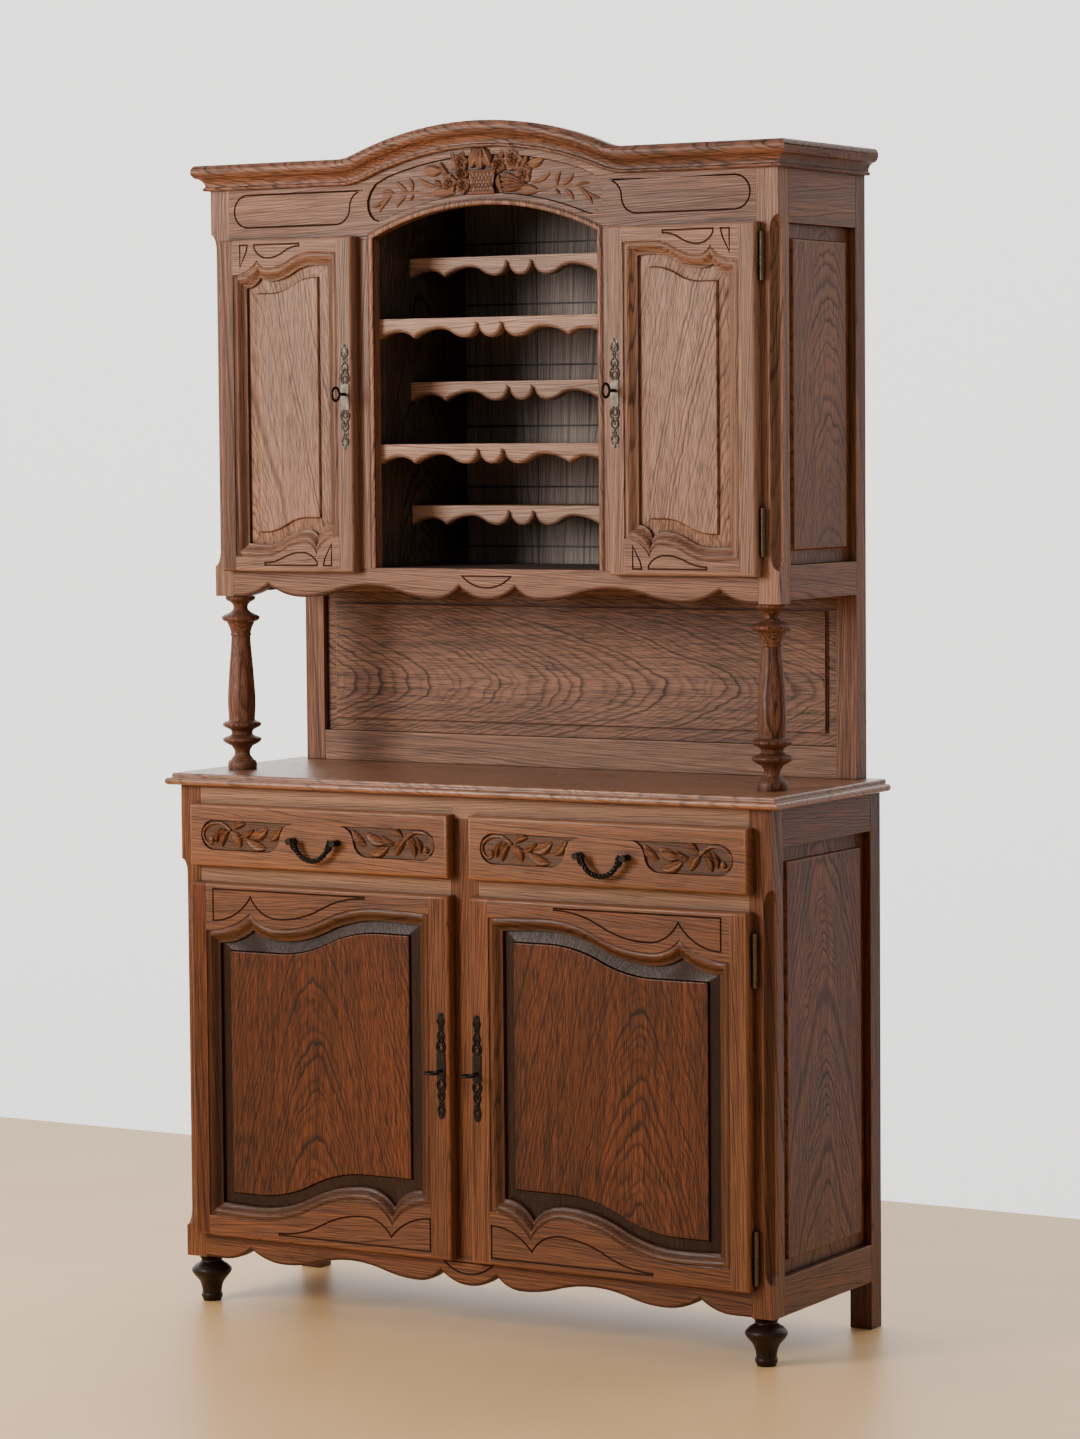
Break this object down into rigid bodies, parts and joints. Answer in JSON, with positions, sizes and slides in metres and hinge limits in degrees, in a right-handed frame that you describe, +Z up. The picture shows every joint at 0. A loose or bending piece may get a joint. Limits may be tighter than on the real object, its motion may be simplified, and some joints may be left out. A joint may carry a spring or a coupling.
{
  "type": "side cabinet",
  "caption": "Tall provincial oak cabinet: drawers and shaped panel doors below, open plate rack between doors above, on turned columns, under an arched cornice.",
  "frame": {"origin": "middle of the footprint on the floor", "axes": "+Z up, front with doors and drawers faces -Y, +X to the right as seen from the front"},
  "size_m": [1.289, 0.493, 2.187],
  "materials": {
    "oak_base": "stained oak, satin wax",
    "oak_upper": "stained oak, worn satin wax",
    "oak_worktop": "polished oak",
    "oak_inside": "dark stained oak",
    "oak_feet": "dark polished oak",
    "iron": "blackened iron",
    "pewter": "dull grey cast metal",
    "hinge_brass": "aged brass"
  },
  "bodies": {
    "carcass": {"base_front_posts": "oak_base", "base_rear_posts": "oak_base", "base_centre_stile": "oak_base", "base_front_rails": "oak_base", "base_apron": "oak_base", "side_rails": "oak_base", "side_panels": "oak_base", "base_back_boards": "oak_inside", "base_floor_board": "oak_inside", "drawer_runners": "oak_inside", "cupboard_shelves": "oak_inside", "shelf_cleats": "oak_inside", "upper_back_boards": "oak_inside", "upper_bottom_board": "oak_inside", "upper_top_board": "oak_inside", "upper_dividers": "oak_inside", "worktop": "oak_worktop", "front_feet": "oak_feet", "columns": "oak_upper", "upper_front_stiles": "oak_upper", "upper_rear_posts": "oak_upper", "frieze_board": "oak_upper", "upper_apron": "oak_upper", "cornice": "oak_upper", "niche_rails": "oak_upper", "niche_panel": "oak_upper", "plate_shelves": "oak_upper", "hinge_pins": "hinge_brass"},
    "right_base_door": {"right_base_door_frame": "oak_base", "right_base_door_panel": "oak_base", "right_base_door_lock": "iron", "right_base_door_hinges": "hinge_brass"},
    "right_base_door_key": {"right_base_door_key": "iron"},
    "right_base_door_bolt": {"right_base_door_bolt": "iron"},
    "left_base_door": {"left_base_door_frame": "oak_base", "left_base_door_panel": "oak_base", "left_base_door_lock": "iron", "left_base_door_hinges": "hinge_brass"},
    "left_base_door_key": {"left_base_door_key": "iron"},
    "left_base_door_bolt": {"left_base_door_bolt": "iron"},
    "right_upper_door": {"right_upper_door_frame": "oak_upper", "right_upper_door_panel": "oak_upper", "right_upper_door_lock": "pewter", "right_upper_door_hinges": "hinge_brass"},
    "right_upper_door_key": {"right_upper_door_key": "iron"},
    "right_upper_door_bolt": {"right_upper_door_bolt": "iron"},
    "left_upper_door": {"left_upper_door_frame": "oak_upper", "left_upper_door_panel": "oak_upper", "left_upper_door_lock": "pewter", "left_upper_door_hinges": "hinge_brass"},
    "left_upper_door_key": {"left_upper_door_key": "iron"},
    "left_upper_door_bolt": {"left_upper_door_bolt": "iron"},
    "right_drawer": {"right_drawer_front": "oak_base", "right_drawer_box": "oak_inside", "right_drawer_handle_posts": "iron"},
    "right_drawer_bail": {"right_drawer_bail": "iron"},
    "left_drawer": {"left_drawer_front": "oak_base", "left_drawer_box": "oak_inside", "left_drawer_handle_posts": "iron"},
    "left_drawer_bail": {"left_drawer_bail": "iron"}
  },
  "joints": [
    {"name": "right_base_door_swing", "type": "hinge", "parent": "carcass", "child": "right_base_door", "pos_m": [0.5925, -0.1835, 0.482], "axis": [0, 0, 1], "range_deg": [0, 105]},
    {"name": "right_base_door_key_turn", "type": "hinge", "parent": "right_base_door", "child": "right_base_door_key", "pos_m": [0.038, -0.2005, 0.482], "axis": [0, -1, 0], "range_deg": [0, 360]},
    {"name": "right_base_door_bolt_throw", "type": "slide", "parent": "right_base_door", "child": "right_base_door_bolt", "axis": [-1, 0, 0], "range_m": [0, 0.009]},
    {"name": "left_base_door_swing", "type": "hinge", "parent": "carcass", "child": "left_base_door", "pos_m": [-0.5925, -0.1835, 0.482], "axis": [0, 0, -1], "range_deg": [0, 105]},
    {"name": "left_base_door_key_turn", "type": "hinge", "parent": "left_base_door", "child": "left_base_door_key", "pos_m": [-0.038, -0.2005, 0.482], "axis": [0, -1, 0], "range_deg": [0, 360]},
    {"name": "left_base_door_bolt_throw", "type": "slide", "parent": "left_base_door", "child": "left_base_door_bolt", "axis": [1, 0, 0], "range_m": [0, 0.009]},
    {"name": "right_upper_door_swing", "type": "hinge", "parent": "carcass", "child": "right_upper_door", "pos_m": [0.568, -0.0995, 1.701], "axis": [0, 0, 1], "range_deg": [0, 105]},
    {"name": "right_upper_door_key_turn", "type": "hinge", "parent": "right_upper_door", "child": "right_upper_door_key", "pos_m": [0.284, -0.1165, 1.701], "axis": [0, -1, 0], "range_deg": [0, 360]},
    {"name": "right_upper_door_bolt_throw", "type": "slide", "parent": "right_upper_door", "child": "right_upper_door_bolt", "axis": [-1, 0, 0], "range_m": [0, 0.009]},
    {"name": "left_upper_door_swing", "type": "hinge", "parent": "carcass", "child": "left_upper_door", "pos_m": [-0.568, -0.0995, 1.701], "axis": [0, 0, -1], "range_deg": [0, 105]},
    {"name": "left_upper_door_key_turn", "type": "hinge", "parent": "left_upper_door", "child": "left_upper_door_key", "pos_m": [-0.284, -0.1165, 1.701], "axis": [0, -1, 0], "range_deg": [0, 360]},
    {"name": "left_upper_door_bolt_throw", "type": "slide", "parent": "left_upper_door", "child": "left_upper_door_bolt", "axis": [1, 0, 0], "range_m": [0, 0.009]},
    {"name": "right_drawer_slide", "type": "slide", "parent": "carcass", "child": "right_drawer", "axis": [0, -1, 0], "range_m": [0, 0.28]},
    {"name": "right_drawer_bail_swing", "type": "hinge", "parent": "right_drawer", "child": "right_drawer_bail", "pos_m": [0.30375, -0.2165, 0.885], "axis": [-1, 0, 0], "range_deg": [0, 90]},
    {"name": "left_drawer_slide", "type": "slide", "parent": "carcass", "child": "left_drawer", "axis": [0, -1, 0], "range_m": [0, 0.28]},
    {"name": "left_drawer_bail_swing", "type": "hinge", "parent": "left_drawer", "child": "left_drawer_bail", "pos_m": [-0.30375, -0.2165, 0.885], "axis": [-1, 0, 0], "range_deg": [0, 90]}
  ],
  "couplings": [
    {"joint": "right_base_door_key_turn", "follows": "right_base_door_bolt_throw", "rad_per_m": 690},
    {"joint": "left_base_door_key_turn", "follows": "left_base_door_bolt_throw", "rad_per_m": 690},
    {"joint": "right_upper_door_key_turn", "follows": "right_upper_door_bolt_throw", "rad_per_m": 690},
    {"joint": "left_upper_door_key_turn", "follows": "left_upper_door_bolt_throw", "rad_per_m": 690}
  ]
}
